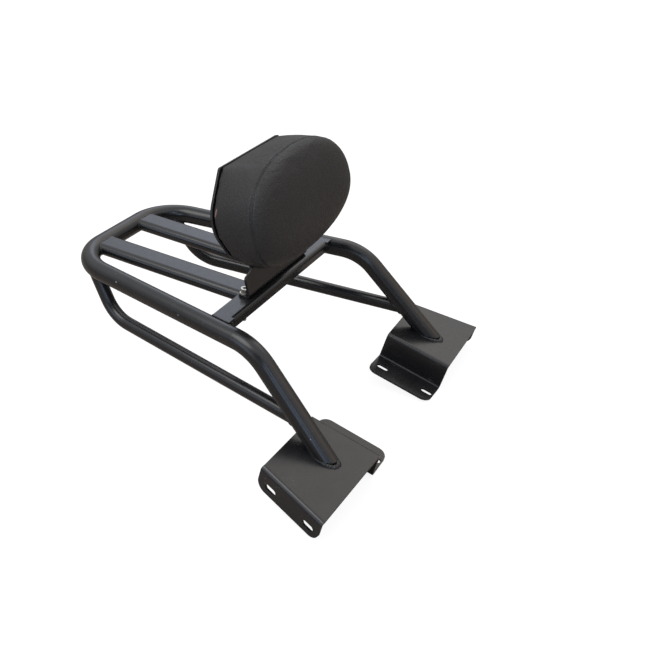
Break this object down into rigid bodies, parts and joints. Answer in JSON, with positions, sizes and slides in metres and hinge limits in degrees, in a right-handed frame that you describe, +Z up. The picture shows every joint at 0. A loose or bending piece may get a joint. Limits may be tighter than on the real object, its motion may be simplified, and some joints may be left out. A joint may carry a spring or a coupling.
{
  "type": "motorcycle luggage rack with backrest",
  "caption": "Black tubular motorcycle luggage rack with flat slats, folded slotted mount plates on splayed legs and a padded oval backrest on a sheet bracket.",
  "frame": {"origin": "midway between the points where the centre lines of the two legs meet the tops of the mount plates", "axes": "+X across to the rider's left, +Y to the rear along the rack, +Z up, with the hoop level"},
  "size_m": [0.4878, 0.474, 0.3467],
  "materials": {
    "paint": "satin black powder coat",
    "zinc": "bright zinc plate, faintly yellow",
    "plywood": "bare",
    "foam": "open-cell foam",
    "vinyl": "matte grained vinyl"
  },
  "bodies": {
    "root": {"hoop_tube": "paint", "brace_tube_left": "paint", "brace_tube_right": "paint", "slat_left": "paint", "slat_right": "paint", "cross_plate": "paint", "mount_plate_left": "paint", "mount_plate_right": "paint", "backrest_bracket": "paint", "foot_bolts": "zinc", "foot_washers": "zinc", "foot_nuts": "zinc", "pad_board": "plywood", "pad_foam": "foam", "pad_cover": "vinyl", "pad_bolts": "zinc", "pad_washers": "zinc", "pad_tee_nuts": "zinc"}
  },
  "joints": []
}
